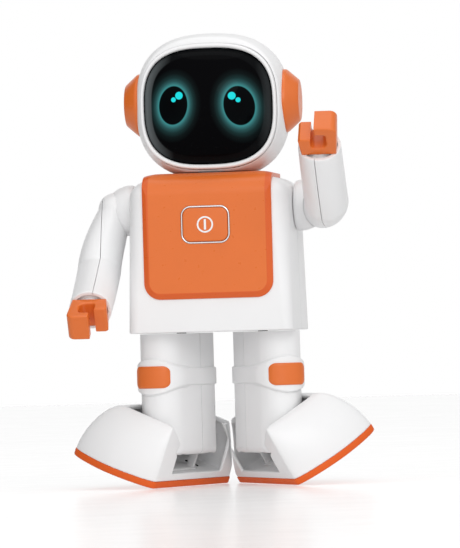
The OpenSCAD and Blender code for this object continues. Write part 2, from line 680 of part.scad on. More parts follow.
head_shell_front();
head_shell_rear();
face_bezel();
visor();
eye_board();
eye_diffusers();
ear_cap_left();
ear_cap_right();
neck_collar();
head_screws();
torso_shell_front();
torso_shell_rear();
base_plate();
chest_panel();
button_ring();
power_button();
power_icon();
main_board();
neck_servo();
shoulder_servo_left();
shoulder_servo_right();
hip_servo_left();
hip_servo_right();
battery_pack();
battery_door();
speaker();
charge_port();
torso_screws();
shoulder_hub_left();
arm_shell_outer_left();
arm_shell_inner_left();
wrist_plug_left();
hand_left();
shoulder_hub_right();
arm_shell_outer_right();
arm_shell_inner_right();
wrist_plug_right();
hand_right();
leg_shell_front_left();
leg_shell_rear_left();
knee_band_left();
knee_pad_left();
ankle_servo_left();
hip_flange_left();
leg_shell_front_right();
leg_shell_rear_right();
knee_band_right();
knee_pad_right();
ankle_servo_right();
hip_flange_right();
shoe_upper_left();
sole_left();
ankle_bracket_left();
shoe_grommet_left();
shoe_upper_right();
sole_right();
ankle_bracket_right();
shoe_grommet_right();
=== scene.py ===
import json
import math

import bmesh
import bpy
from mathutils import Matrix, Vector


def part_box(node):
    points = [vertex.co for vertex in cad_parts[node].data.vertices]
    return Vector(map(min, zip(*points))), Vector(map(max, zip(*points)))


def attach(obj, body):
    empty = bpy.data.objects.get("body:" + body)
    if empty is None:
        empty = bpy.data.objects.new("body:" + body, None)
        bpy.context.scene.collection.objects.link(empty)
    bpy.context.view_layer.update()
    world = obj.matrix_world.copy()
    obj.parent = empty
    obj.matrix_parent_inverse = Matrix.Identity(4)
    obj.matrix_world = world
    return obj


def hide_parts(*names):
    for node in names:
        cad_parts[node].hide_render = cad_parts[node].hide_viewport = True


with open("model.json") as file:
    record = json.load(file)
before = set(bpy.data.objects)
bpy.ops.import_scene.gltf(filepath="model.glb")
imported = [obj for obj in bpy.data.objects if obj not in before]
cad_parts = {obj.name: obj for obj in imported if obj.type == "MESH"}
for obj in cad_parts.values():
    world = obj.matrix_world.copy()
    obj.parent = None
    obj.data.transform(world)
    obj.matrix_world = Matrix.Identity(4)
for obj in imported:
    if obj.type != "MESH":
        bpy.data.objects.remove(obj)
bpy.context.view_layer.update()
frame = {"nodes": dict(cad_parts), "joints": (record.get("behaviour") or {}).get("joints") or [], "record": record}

# ---------- the frame's own facts, lengths in millimetres ----------
MM = Matrix.Scale(0.001, 4)
RECORD = frame["record"]
JOINTS = {joint["name"]: joint for joint in frame["joints"]}
MOUNTS = {mount["name"]: mount for mount in RECORD["mounts"]}
SLOT_OF = {row["node"]: row["material_slot"] for row in RECORD["subparts"]}
BODY_OF = {n: body for body, nodes in RECORD["behaviour"]["bodies"].items() for n in nodes}
SIDES = {"left": 1, "right": -1}


def box_mm(node):
    low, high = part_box(node)
    return low * 1000, high * 1000


def joint_mm(name):
    return Vector(JOINTS[name]["pos_m"]) * 1000


def sole_lean(side):
    """How far a shoe is rocked onto its inner edge, in degrees."""
    return math.degrees(math.acos(-MOUNTS[side + "_sole"]["axis"][2]))


def toe_out(side):
    """How far a leg is turned outwards, in degrees."""
    axis = JOINTS[side + "_ankle"]["axis"]
    return math.degrees(math.atan2(axis[0], abs(axis[1])))


ARM_LIFT = JOINTS["right_shoulder"]["range_deg"][1] - JOINTS["left_shoulder"]["range_deg"][1]
HEAD_TURN = -sum(JOINTS["neck_turn"]["range_deg"]) / 2
ARM_TURN = 2.4
EAR_Z = sum(c.z for c in box_mm("ear_cap_left")) / 2
EAR_DZ = 1.9            # ear caps above the head's centre
FACE_DZ = -1.1          # visor above the head's centre
ANKLE_DX = -3.66        # ankle axis inboard of the leg's middle
ANKLE_H = 28.6          # ankle axis above the sole's underside


def shift(x, y, z):
    return Matrix.Translation((x, y, z))


def turn(degrees, axis):
    return Matrix.Rotation(math.radians(degrees), 4, axis)


def flip(side):
    return Matrix.Diagonal((SIDES[side], 1, 1, 1))


IN_TORSO = MM
IN_HEAD = MM @ turn(HEAD_TURN, "Z") @ shift(0, 0, EAR_Z - EAR_DZ)


def in_shoulder(side, turned=0):
    lift = -ARM_LIFT if side == "left" else 0
    at = joint_mm(side + "_shoulder")
    return MM @ Matrix.Translation(at) @ turn(turned, "Z") @ turn(lift, "X") @ flip(side)


def in_arm(side):
    return in_shoulder(side, ARM_TURN)


def in_leg(side):
    at = joint_mm(side + "_hip")
    return MM @ shift(at.x, at.y, 0) @ turn(SIDES[side] * toe_out(side), "Z") @ flip(side)


def in_foot(side):
    return in_leg(side) @ shift(ANKLE_DX, 0, joint_mm(side + "_ankle").z) @ turn(-sole_lean(side), "Y")


# ---------- outlines: closed, anticlockwise, in millimetres ----------
def spow(x, e):
    return math.copysign(abs(x) ** e, x)


def span(low, high, count):
    return [low + (high - low) * i / count for i in range(count + 1)]


def squircle(a, b, n, count=128):
    angles = [2 * math.pi * (i + 0.5) / count for i in range(count)]
    return [(a * spow(math.cos(t), 2 / n), b * spow(math.sin(t), 2 / n)) for t in angles]


def arc(cx, cy, r, start, end, count=10):
    angles = [math.radians(t) for t in span(start, end, count)]
    return [(cx + r * math.cos(t), cy + r * math.sin(t)) for t in angles]


def round_rect(x0, y0, x1, y1, r, count=10):
    return (arc(x1 - r, y1 - r, r, 0, 90, count) + arc(x0 + r, y1 - r, r, 90, 180, count)
            + arc(x0 + r, y0 + r, r, 180, 270, count) + arc(x1 - r, y0 + r, r, 270, 360, count))


def inset(outline, depth):
    """The outline moved inwards by a depth, along the bisector of each corner."""
    moved = []
    for i, point in enumerate(outline):
        here = Vector(point)
        u = (here - Vector(outline[i - 1])).normalized()
        v = (Vector(outline[(i + 1) % len(outline)]) - here).normalized()
        inwards = Vector((-u.y - v.y, u.x + v.x))
        moved.append(tuple(here + inwards * depth / max(1 + u.dot(v), 0.4)))
    return moved


# ---------- meshes ----------
def skin(rings, wrap=False):
    """Points and faces through equal rings: a closed tube of them, or a solid with capped ends."""
    n = len(rings[0])
    rows = list(range(len(rings)))
    pairs = list(zip(rows, rows[1:])) + ([(rows[-1], 0)] if wrap else [])
    faces = [(a * n + i, a * n + (i + 1) % n, b * n + (i + 1) % n, b * n + i)
             for a, b in pairs for i in range(n)]
    if not wrap:
        faces += [tuple(range(n)), tuple(rows[-1] * n + i for i in range(n))]
    return [p for ring in rings for p in ring], faces


def solid(rings, place, wrap=False):
    """A closed mesh object through rings, placed in the frame."""
    points, faces = skin(rings, wrap)
    mesh = bpy.data.meshes.new("form")
    mesh.from_pydata([place @ Vector(p) for p in points], [], faces)
    clean(mesh)
    form = bpy.data.objects.new("form", mesh)
    bpy.context.scene.collection.objects.link(form)
    return form


def clean(mesh, weld=2e-6):
    bm = bmesh.new()
    bm.from_mesh(mesh)
    bmesh.ops.remove_doubles(bm, verts=bm.verts, dist=weld)
    bmesh.ops.dissolve_degenerate(bm, edges=bm.edges, dist=weld)
    bmesh.ops.recalc_face_normals(bm, faces=bm.faces)
    bm.to_mesh(mesh)
    bm.free()


def bake(form):
    """Applies an object's modifiers to its mesh."""
    graph = bpy.context.evaluated_depsgraph_get()
    mesh = bpy.data.meshes.new_from_object(form.evaluated_get(graph))
    form.modifiers.clear()
    form.data = mesh


def combine(form, *others, operation="DIFFERENCE"):
    """Cuts the others from a form, or keeps only what it shares with them."""
    for other in others:
        cut = form.modifiers.new("cut", "BOOLEAN")
        cut.object, cut.operation, cut.solver = other, operation, "MANIFOLD"
        bake(form)
        bpy.data.objects.remove(other)
    return form


def block(x0, y0, z0, x1, y1, z1, place):
    ring = [(x0, y0), (x1, y0), (x1, y1), (x0, y1)]
    return solid([[(x, y, z) for x, y in ring] for z in (z0, z1)], place)


def slab_rings(outline, low, high, r_low, r_high, steps=5):
    """Rings of an upright slab whose lower and upper edges are rounded."""
    quarter = span(0, math.pi / 2, steps)
    levels = [(r_low * (1 - math.sin(a)), low + r_low * (1 - math.cos(a))) for a in quarter]
    levels += [(r_high * (1 - math.cos(a)), high - r_high * (1 - math.sin(a))) for a in quarter]
    return [[(x, y, z) for x, y in inset(outline, depth)] for depth, z in levels]


def slab(outline, low, high, place, r_low=0.0, r_high=0.0):
    if r_low or r_high:
        return solid(slab_rings(outline, low, high, max(r_low, 0.05), max(r_high, 0.05)), place)
    return solid([[(x, y, z) for x, y in outline] for z in (low, high)], place)


UPRIGHT = turn(90, "X")      # a slab's outline stands in the X-Z plane, its height runs along -Y
SIDEWAYS = turn(90, "Z") @ turn(90, "X")      # its outline stands in the Y-Z plane, its height runs along +X


def lathe(profile, place, count=96):
    """A solid turned about +Z from (radius, height) points that form a closed loop off the axis."""
    rings = [[(r * math.cos(t), r * math.sin(t), z) for t in span(0, 2 * math.pi, count)[:-1]]
             for r, z in profile]
    return solid(rings, place, wrap=True)


def half(form, low, high, place):
    """The part of a form between two corners of a block."""
    return combine(form, block(*low, *high, place), operation="INTERSECT")


def piece(form, node, smooth=32):
    """Finishes a form as the visible piece that stands for its CAD node."""
    form.name = node + "_skin"
    form.data.name = form.name
    form.data.polygons.foreach_set("use_smooth", [True] * len(form.data.polygons))
    form.data.set_sharp_from_angle(angle=math.radians(smooth))
    form.data.materials.clear()
    form.data.materials.append(MATERIALS[SLOT_OF[node]])
    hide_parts(node)
    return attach(form, BODY_OF[node])


# ---------- materials ----------
class Nodes:
    """A short way to write a material's node tree."""

    def __init__(self, material):
        material.use_nodes = True
        self.material = material
        self.tree = material.node_tree
        self.shader = self.tree.nodes["Principled BSDF"]
        self.place = self.add("ShaderNodeTexCoord").outputs["Object"]

    def add(self, kind, links=None, **settings):
        node = self.tree.nodes.new(kind)
        for key, value in settings.items():
            setattr(node, key, value)
        for key, value in (links or {}).items():
            self.put(node.inputs[key], value)
        return node

    def put(self, socket, value):
        if isinstance(value, bpy.types.NodeSocket):
            self.tree.links.new(value, socket)
        else:
            socket.default_value = value

    def set(self, **values):
        for key, value in values.items():
            self.put(self.shader.inputs[key.replace("_", " ")], value)

    def noise(self, scale, detail=2.0, roughness=0.5):
        return self.add("ShaderNodeTexNoise", {"Vector": self.place, "Scale": scale, "Detail": detail,
                                              "Roughness": roughness}).outputs["Fac"]

    def math(self, operation, a, b=0.0, c=0.0, clamp=False):
        node = self.add("ShaderNodeMath", {0: a, 1: b, 2: c}, operation=operation, use_clamp=clamp)
        return node.outputs[0]

    def between(self, factor, low, high):
        return self.add("ShaderNodeMapRange", {"Value": factor, "From Min": 0.3, "From Max": 0.7,
                                              "To Min": low, "To Max": high}).outputs["Result"]

    def ramp(self, factor, *stops):
        node = self.add("ShaderNodeValToRGB", {"Fac": factor})
        elements = node.color_ramp.elements
        while len(elements) < len(stops):
            elements.new(0.5)
        for element, (at, colour) in zip(elements, stops):
            element.position, element.color = at, colour
        return node.outputs["Color"]

    def mix(self, factor, a, b, blend="MIX"):
        node = self.add("ShaderNodeMix", data_type="RGBA", blend_type=blend)
        for index, value in ((0, factor), (6, a), (7, b)):
            self.put(node.inputs[index], value)
        return node.outputs[2]

    def bump(self, height, distance, strength=1.0, under=None):
        links = {"Height": height, "Distance": distance, "Strength": strength}
        if under is not None:
            links["Normal"] = under
        return self.add("ShaderNodeBump", links).outputs["Normal"]


def fresh(name):
    return Nodes(bpy.data.materials.new(name))


def shade(colour, k):
    return tuple(min(c * k, 1) for c in colour[:3]) + (1,)


def moulded(name, colour, rough, grain=0.012, mottle=0.03, specular=0.5, coat=0.0, spread=0.06, **more):
    """Injection-moulded plastic: faint mottling, a fine spark-eroded grain and uneven gloss."""
    n = fresh(name)
    cloud = n.noise(38, 3)
    n.set(Base_Color=n.mix(n.between(cloud, 0, 1), shade(colour, 1 - mottle), shade(colour, 1 + mottle)))
    n.set(Roughness=n.between(n.noise(260, 4, 0.6), rough - spread, rough + spread))
    fine = n.bump(n.noise(2600, 2), grain * 1e-3, 0.35)
    wavy = n.bump(n.noise(55, 1), 0.25e-3, 0.05, fine)
    n.set(Normal=wavy, Specular_IOR_Level=specular, Coat_Weight=coat, Coat_Roughness=0.12, **more)
    return n.material


def brushed(name, colour, rough, stretch):
    """Metal with fine lines drawn along one direction."""
    n = fresh(name)
    n.place = n.add("ShaderNodeMapping", {"Vector": n.place, "Scale": stretch}).outputs["Vector"]
    lines = n.noise(900, 3, 0.7)
    n.set(Base_Color=n.mix(n.between(lines, 0, 1), shade(colour, 0.86), shade(colour, 1.04)))
    n.set(Roughness=n.between(lines, rough - 0.06, rough + 0.1), Metallic=1.0)
    n.set(Normal=n.bump(lines, 0.01e-3, 0.5))
    return n.material


def circuit(name, colour):
    """Solder mask over a grid of copper tracks."""
    n = fresh(name)
    grid = n.add("ShaderNodeTexBrick", {"Vector": n.place, "Scale": 190.0, "Mortar Size": 0.06,
                                       "Color1": (0, 0, 0, 1), "Color2": (0, 0, 0, 1),
                                       "Mortar": (1, 1, 1, 1)})
    dust = n.between(n.noise(120, 3), 0.7, 1)
    tracks = n.math("MULTIPLY", grid.outputs["Fac"], dust)
    n.set(Base_Color=n.mix(tracks, shade(colour, 0.8), shade(colour, 2.2)), Roughness=0.35)
    n.set(Normal=n.bump(tracks, 0.05e-3, 0.6), Coat_Weight=0.3)
    return n.material


def eye(n, centre, semi, lean, glints):
    """Light of one eye on the face: a halo round a black oval, and its two glints."""
    reach = 2.0

    def radial(cx, cz, a, b, turned):
        at = n.add("ShaderNodeMapping", {"Vector": n.place, "Location": (cx / 1000, 0, cz / 1000),
                                        "Rotation": (0, math.radians(turned), 0),
                                        "Scale": (a * reach / 1000, 10, b * reach / 1000)},
                   vector_type="TEXTURE").outputs["Vector"]
        return n.add("ShaderNodeTexGradient", {"Vector": at}, gradient_type="SPHERICAL").outputs["Fac"]

    black = (0, 0, 0, 1)
    halo = n.ramp(radial(*centre, *semi, lean), *EYE_HALO)
    light = halo
    for dx, dz, r in glints:
        dot = n.ramp(radial(centre[0] + dx, centre[1] + dz, r, r, 0),
                     (0.0, black), (0.47, black), (0.53, EYE_GLINT), (1.0, EYE_GLINT))
        light = n.mix(1.0, light, dot, "ADD")
    return light


EYE_GLINT = (0.016, 0.75, 0.78, 1)
EYE_HALO = ((0.0, (0, 0, 0, 1)), (0.06, (0, 0, 0, 1)), (0.2, (0.003, 0.007, 0.007, 1)),
            (0.31, (0.009, 0.03, 0.03, 1)), (0.4, (0.022, 0.085, 0.087, 1)), (0.47, (0.04, 0.19, 0.195, 1)),
            (0.5, (0.045, 0.26, 0.265, 1)), (0.525, (0.0, 0.001, 0.001, 1)), (1.0, (0, 0, 0, 1)))


def visor_material(name):
    """Smoked acrylic that carries the lit eyes, with a painted grey reflection band near its edge, strongest
    towards negative x.
    """
    n = fresh(name)
    split = n.add("ShaderNodeSeparateXYZ", {"Vector": n.place})
    x = n.math("DIVIDE", split.outputs["X"], VISOR[0] / 2000)
    z = n.math("DIVIDE", n.math("SUBTRACT", split.outputs["Z"], FACE_DZ / 1000), VISOR[1] / 2000)
    squared = n.math("ADD", n.math("POWER", n.math("ABSOLUTE", x), VISOR_N),
                     n.math("POWER", n.math("ABSOLUTE", z), VISOR_N))
    # band: painted reflection, a grey ring just inside the visor's edge
    band = n.ramp(squared, (0.0, (0, 0, 0, 1)), (0.66, (0, 0, 0, 1)), (0.7, (0.7, 0.7, 0.7, 1)),
                  (0.86, (1, 1, 1, 1)), (0.945, (0.85, 0.85, 0.85, 1)), (0.97, (0, 0, 0, 1)))
    # the painted reflection is strong on the negative-x side and faint on the positive-x side
    reflection_right = n.add("ShaderNodeMapRange", {"Value": x, "From Min": -0.95, "From Max": -0.55,
                                             "To Min": 1.0, "To Max": 0.03}).outputs["Result"]
    reflection_left = n.add("ShaderNodeMapRange", {"Value": x, "From Min": 0.75, "From Max": 0.95,
                                            "To Min": 0.03, "To Max": 0.22}).outputs["Result"]
    painted_reflection = n.math("MULTIPLY", band, n.math("MAXIMUM", reflection_right, reflection_left))
    # black acrylic, greyed where the painted reflection falls
    n.set(Base_Color=n.mix(painted_reflection, (0.0015, 0.0015, 0.002, 1), (0.12, 0.135, 0.14, 1)))
    n.set(Roughness=n.between(n.noise(60, 2), 0.07, 0.1), Specular_IOR_Level=0.02)
    light = n.mix(1.0, eye(n, (-19.7, -0.5), (9.1, 11.8), 6.0, ((3.8, 5.6, 2.27), (0.35, 3.3, 1.45))),
                  eye(n, (19.7, -1.9), (9.3, 12.05), -8.5, ((-4.1, 5.9, 2.27), (-0.5, 3.4, 1.45))), "ADD")
    n.set(Emission_Color=light, Emission_Strength=1.0)
    return n.material


def painted_shade_panel(name, colour, border):
    """The chest panel's plastic, with painted shade darkening the sloping border along its sides and lower edge.
    """
    material = moulded(name, colour, 0.32, mottle=0.02)
    n = Nodes(material)
    face = n.shader.inputs["Base Color"].links[0].from_socket
    split = n.add("ShaderNodeSeparateXYZ", {"Vector": n.place})
    half_width, low, corner = PANEL
    core_x, core_z = (half_width - corner) / 1000, (low + corner) / 1000
    over = n.math("MAXIMUM", n.math("SUBTRACT", n.math("ABSOLUTE", split.outputs["X"]), core_x), 0.0)
    under = n.math("MAXIMUM", n.math("SUBTRACT", core_z, split.outputs["Z"]), 0.0)
    out = n.math("SQRT", n.math("ADD", n.math("MULTIPLY", over, over), n.math("MULTIPLY", under, under)))
    # painted shade covers the strip along the outline where the border slopes away
    edge = (corner - PANEL_SHADE_WIDTH) / 1000
    share = n.add("ShaderNodeMapRange", {"Value": out, "From Min": edge - 1e-4, "From Max": edge + 1e-4})
    n.set(Base_Color=n.mix(share.outputs["Result"], face, border))
    return material


VISOR = (77.0, 69.0)
VISOR_N = 2.82
PANEL = (38.7, 112.0, 10.0)      # chest panel: half width, lower edge and corner radius
# width of the painted shade along the panel's border
PANEL_SHADE_WIDTH = 3.6
MATERIALS = {
    "white_shell": moulded("white_abs", (0.88, 0.88, 0.885), 0.36, mottle=0.008),
    "orange_trim": moulded("orange_abs", (0.77, 0.165, 0.024), 0.34, mottle=0.02),
    "orange_sole": moulded("orange_rubber", (0.77, 0.115, 0.01), 0.55, grain=0.03, mottle=0.05,
                           specular=0.35),
    "visor_gloss": visor_material("smoked_visor"),
    "eye_glow": moulded("diffuser", (0.35, 0.8, 0.8), 0.5, Emission_Color=(0.05, 0.75, 0.8, 1),
                        Emission_Strength=0.6),
    "icon_white": moulded("icon_print", (0.9, 0.9, 0.9), 0.5),
    "grey_plastic": moulded("grey_nylon", (0.34, 0.36, 0.38), 0.5, grain=0.02),
    "black_rubber": moulded("black_rubber", (0.012, 0.012, 0.012), 0.6, grain=0.03, specular=0.3),
    "chrome_trim": brushed("chrome", (0.86, 0.89, 0.93), 0.12, (1, 1, 1)),
    "circuit_board": circuit("solder_mask", (0.012, 0.07, 0.03)),
    "servo_case": moulded("servo_nylon", (0.014, 0.015, 0.018), 0.45, grain=0.03),
    "cell_wrap": moulded("shrink_wrap", (0.01, 0.05, 0.28), 0.22, grain=0.004, coat=0.5),
    "speaker_black": moulded("speaker_cone", (0.01, 0.01, 0.011), 0.65, grain=0.05),
    "screw_steel": brushed("zinc_steel", (0.6, 0.61, 0.63), 0.25, (1, 8, 1)),
}


# ---------- head ----------
HEAD = (45.7, 42.5, 43.5)        # half width, depth and height of the head's form
HEAD_N = 2.56
HEAD_WALL = 2.2
HEAD_SPLIT = 3.0
NECK_CUT = 187.6 - (EAR_Z - EAR_DZ)
OPENING = (41.0, 37.6, 2.8)      # face opening: half sizes and squareness
SEAM = 0.25                      # half the visible gap between two mating shells


def head_ring(y, grown=0.0, count=144):
    """The head's outline at a depth y, flattened where the neck is cut."""
    a, b, c = (h + grown for h in HEAD)
    reach = max(1 - abs(y / b) ** HEAD_N, 0) ** (1 / HEAD_N)
    return [(x, y, max(z, NECK_CUT - grown)) for x, z in squircle(a * reach, c * reach, HEAD_N, count)]


def head_depths(y0, y1, grown, count=26):
    """Depths from y0 to y1 that crowd where the head curves away."""
    b = HEAD[1] + grown
    first, last = (math.copysign(math.asin(min(abs(y / b), 1) ** (HEAD_N / 2)), y) for y in (y0, y1))
    return [b * spow(math.sin(p), 2 / HEAD_N) for p in span(first, last, count)]


def opening_ring(y, grown=0.0, count=144):
    a, c, n = OPENING
    return [(x, y, z + FACE_DZ) for x, z in squircle(a + grown, c + grown, n, count)]


def blend_rings(first, second, w):
    return [tuple(Vector(p).lerp(Vector(q), w)) for p, q in zip(first, second)]


def ear_bore():
    return slab(squircle(19.1, 19.1, 2, 96), -60, 60, IN_HEAD @ shift(0, 0, EAR_DZ) @ SIDEWAYS)


def head_front():
    rings = [head_ring(y) for y in head_depths(HEAD_SPLIT - SEAM, -21.2, 0)]
    lip = ((0.12, -21.75), (0.3, -22.15), (0.55, -22.4), (0.8, -22.5), (0.95, -22.45))
    rings += [blend_rings(head_ring(y), opening_ring(y), w) for w, y in lip]
    rings += [opening_ring(-22.2), opening_ring(-20.0)]
    rings += [head_ring(y, -HEAD_WALL) for y in head_depths(-17.5, HEAD_SPLIT - SEAM, -HEAD_WALL)]
    form = combine(solid(rings, IN_HEAD, wrap=True), ear_bore(), neck_bore())
    piece(form, "head_shell_front")


def neck_bore():
    return slab(squircle(15, 15, 2, 64), -60, -30, IN_HEAD)


def head_rear():
    pole = HEAD[1] * 0.99998
    rings = [head_ring(y) for y in head_depths(pole, HEAD_SPLIT + SEAM, 0, 40)]
    rings += [head_ring(y, -HEAD_WALL)
              for y in head_depths(HEAD_SPLIT + SEAM, pole - HEAD_WALL, -HEAD_WALL, 30)]
    bores = [slab(squircle(2.5, 2.5, 2, 32), -60, -20, IN_HEAD @ shift(x, 0, z) @ UPRIGHT)
             for x in (-22, 22) for z in (-18, 16)]
    form = combine(solid(rings, IN_HEAD), ear_bore(), neck_bore(), *bores)
    piece(form, "head_shell_rear")


def bezel():
    outer = squircle(40.8, 37.4, 2.8, 144)
    inner = squircle(VISOR[0] / 2 + 0.15, VISOR[1] / 2 + 0.15, VISOR_N, 144)
    section = ((1, -21.4), (1, -25.0), (0.97, -25.6), (0.86, -26.2), (0.7, -26.5), (0.5, -26.6), (0.3, -26.5),
               (0.14, -26.2), (0.03, -25.7), (0, -25.1), (0, -21.4))
    rings = [[(p[0] * w + q[0] * (1 - w), y, p[1] * w + q[1] * (1 - w) + FACE_DZ)
              for p, q in zip(outer, inner)] for w, y in section]
    piece(solid(rings, IN_HEAD, wrap=True), "face_bezel", smooth=50)


def visor():
    """Domed sheet whose origin is the head's centre, so that its eyes are drawn in head coordinates."""
    def ring(s, wall):
        outline = squircle((VISOR[0] / 2 - wall) * s, (VISOR[1] / 2 - wall) * s, VISOR_N, 144)
        depth = -24.4 - 13 * (1 - s ** 2.4) + wall * 1.2
        return [(x, depth, z + FACE_DZ) for x, z in outline]

    shares = [1, 0.992] + span(0.975, 0.015, 36)
    rings = [ring(s, 2) for s in reversed(shares)] + [ring(s, 0) for s in shares]
    form = solid(rings, MM)
    piece_matrix = IN_HEAD @ MM.inverted()
    form.matrix_world = piece_matrix
    piece(form, "visor", smooth=60)


def ear_caps():
    profile = [(0.02, 52.6)] + [(r, 52.6) for r in span(2, 11.2, 4)]
    profile += [(12.0, 52.45), (12.6, 52.05), (18.1, 45.85), (18.55, 45.25), (18.8, 44.6), (18.8, 41.4),
                (16.6, 41.4), (16.6, 44.2), (11, 50.4), (0.02, 50.4)]
    for side in SIDES:
        place = IN_HEAD @ shift(0, 0, EAR_DZ) @ flip(side) @ turn(90, "Y")
        piece(lathe(profile, place, 128), "ear_cap_" + side, smooth=24)


# ---------- torso ----------
TORSO_LOW, TORSO_HIGH = (box_mm(n)[i].z for n, i in (("torso_shell_front", 0), ("torso_shell_rear", 1)))
TORSO_W, TORSO_D = 98.8, 71.0
TOP_R = 11.2             # radius of the torso's top edge, front and back
TOP_RX = 18.0            # sideways reach of its rounded top corners
FOOT_CORNER = 6.0        # radius of its upright corners at the base
TORSO_WALL = 2.2
SPLIT_Y = 2.0
PANEL_T = 2.4
BUTTON = (-0.8, 155.8)


def torso_ring(z, in_x, in_y, corner, grown):
    x, y = TORSO_W / 2 + grown - in_x, TORSO_D / 2 + grown - in_y
    return [(px, py, z) for px, py in round_rect(-x, -y, x, y, corner, 12)]


def torso_form(grown, foot=0.0):
    """The torso's form grown by a distance; foot rounds its lower edge."""
    r = TOP_R + grown
    low = TORSO_LOW + min(0, grown)
    rings = []
    if foot:
        rings = [torso_ring(low + foot * (1 - math.cos(a)), foot * (1 - math.sin(a)),
                            foot * (1 - math.sin(a)), FOOT_CORNER + grown, grown)
                 for a in span(0, math.pi / 2, 4)[:-1]]
    rings.append(torso_ring(low + foot, 0, 0, FOOT_CORNER + grown, grown))
    shoulder = TORSO_HIGH - TOP_R
    for t in (0.25, 0.5, 0.75, 0.97):
        rings.append(torso_ring(low + foot + (shoulder - low - foot) * t, 1.4 * t, 0.6 * t,
                                FOOT_CORNER + grown + (TOP_R - FOOT_CORNER) * t, grown))
    for a in span(0, math.radians(88.5), 22):
        rings.append(torso_ring(shoulder + r * math.sin(a), 1.4 + (TOP_RX + grown) * (1 - math.cos(a)),
                                0.6 + r * (1 - math.cos(a)), max(r * math.cos(a), 0.3), grown))
    return solid(rings, IN_TORSO)


def torso_shell():
    top = squircle(5, 5, 2, 48)
    shoulder_z = joint_mm("left_shoulder").z
    return combine(torso_form(0, 0.9), torso_form(-TORSO_WALL),
                   slab(top, TORSO_HIGH - 10, TORSO_HIGH + 10, IN_TORSO),
                   slab(top, -60, 60, IN_TORSO @ shift(0, 0, shoulder_z) @ SIDEWAYS))


def torso_shells():
    front = half(torso_shell(), (-80, -80, 60), (80, SPLIT_Y - SEAM, 220), IN_TORSO)
    button_hole = slab(squircle(3.2, 3.2, 2, 32), 20, 60, IN_TORSO @ shift(BUTTON[0], 0, BUTTON[1]) @ UPRIGHT)
    piece(combine(front, button_hole), "torso_shell_front", smooth=25)
    rear = half(torso_shell(), (-80, SPLIT_Y + SEAM, 60), (80, 80, 220), IN_TORSO)
    cuts = [slab(round_rect(-30.3, 97.7, 30.3, 148.3, 4.3), -60, -20, IN_TORSO @ UPRIGHT),
            slab(round_rect(33.6, 111.6, 43.4, 115.8, 2), -60, -20, IN_TORSO @ UPRIGHT)]
    for i in range(-4, 5):
        x, z = 9 - abs(i) * 0.9, 160 + i * 2.3
        cuts.append(slab(round_rect(-x, z - 0.6, x, z + 0.6, 0.58, 4), -60, -20, IN_TORSO @ UPRIGHT))
    cuts += [slab(squircle(2.5, 2.5, 2, 32), -60, -31.5, IN_TORSO @ shift(x, 0, z) @ UPRIGHT)
             for x in (-41, 41) for z in (100, 140)]
    piece(combine(rear, *cuts), "torso_shell_rear", smooth=25)


def panel_outline(grown):
    """The chest panel's outline, round at its lower corners and open-ended at the neck."""
    x, z, r = PANEL
    return (arc(x - r, z + r, r - grown, 270, 360, 16) + [(x - grown, 200), (-x + grown, 200)]
            + arc(-x + r, z + r, r - grown, 180, 270, 16))


def chest_panel():
    border = ((4, 0), (-35.9, 0), (-36.1, 0.12), (-36.35, 0.5), (-37.5, 2.75), (-37.75, 3.25), (-37.95, 4.1),
              (-60, 4.1))
    region = solid([[(x, y, z) for x, z in panel_outline(grown)] for y, grown in border], IN_TORSO)
    form = combine(torso_form(PANEL_T), region, operation="INTERSECT")
    form = combine(form, torso_form(0.1), slab(squircle(23.5, 23.5, 2, 96), 0, 300, IN_TORSO),
                   slab(button_outline(14.8, 11.35, 6), 20, 60, IN_TORSO @ UPRIGHT))
    piece(form, "chest_panel", smooth=20)
    # painted shade colour for the panel's sloping border
    form.data.materials[0] = painted_shade_panel("orange_panel", (0.77, 0.165, 0.024), (0.72, 0.11, 0.009, 1))


def button_outline(w, h, r):
    x, z = BUTTON
    return round_rect(x - w, z - h, x + w, z + h, r)


def power_button():
    section = ((0, 35.2), (0, 37.5), (0.12, 37.8), (0.4, 38.0), (0.75, 38.0), (1.0, 37.8), (1.12, 37.5),
               (1.12, 35.2))
    ring = [[(x, y, h) for x, y in inset(button_outline(14.65, 11.2, 5.8), depth)] for depth, h in section]
    piece(solid(ring, IN_TORSO @ UPRIGHT, wrap=True), "button_ring", smooth=60)
    cap = slab(button_outline(13.4, 9.95, 4.6), 36.3, 38.6, IN_TORSO @ UPRIGHT, 0.2, 0.7)
    stem_place = IN_TORSO @ shift(BUTTON[0], 0, BUTTON[1]) @ UPRIGHT
    stem = slab(squircle(2.6, 2.6, 2, 48), 26.8, 36.5, stem_place, 0.3)
    piece(combine(cap, stem, operation="UNION"), "power_button")
    place = IN_TORSO @ shift(BUTTON[0], -38.6, BUTTON[1]) @ UPRIGHT
    circle = lathe([(3.9, 0), (3.9, 0.2), (4.0, 0.3), (4.8, 0.3), (4.9, 0.2), (4.9, 0)], place)
    bar = slab(round_rect(-0.65, -3.1, 0.65, 3.1, 0.3, 5), 0, 0.3, place, 0, 0.1)
    piece(combine(circle, bar, operation="UNION"), "power_icon")


# ---------- arms ----------
UPPER, UPPER_A, FORE, FORE_A = 39.0, 20.0, 46.0, 60.0
WRIST_R = 12.6
ARM_WALL = 2.0
ARM_SPLIT = 20.0         # parting plane of an arm's two halves
HUB_FACE = 4.6           # where an arm's shell meets the shoulder cap's disc
HAND_T, HAND_L = 15.8, 21.0


def along(length, degrees):
    a = math.radians(degrees)
    return Vector((0, -length * math.sin(a), -length * math.cos(a)))


ELBOW = Vector((22.3, 0, 0)) + along(UPPER, UPPER_A)
WRIST = Vector((22.4, 0, 0)) + (ELBOW - Vector((22.3, 0, 0))) + along(FORE, FORE_A)


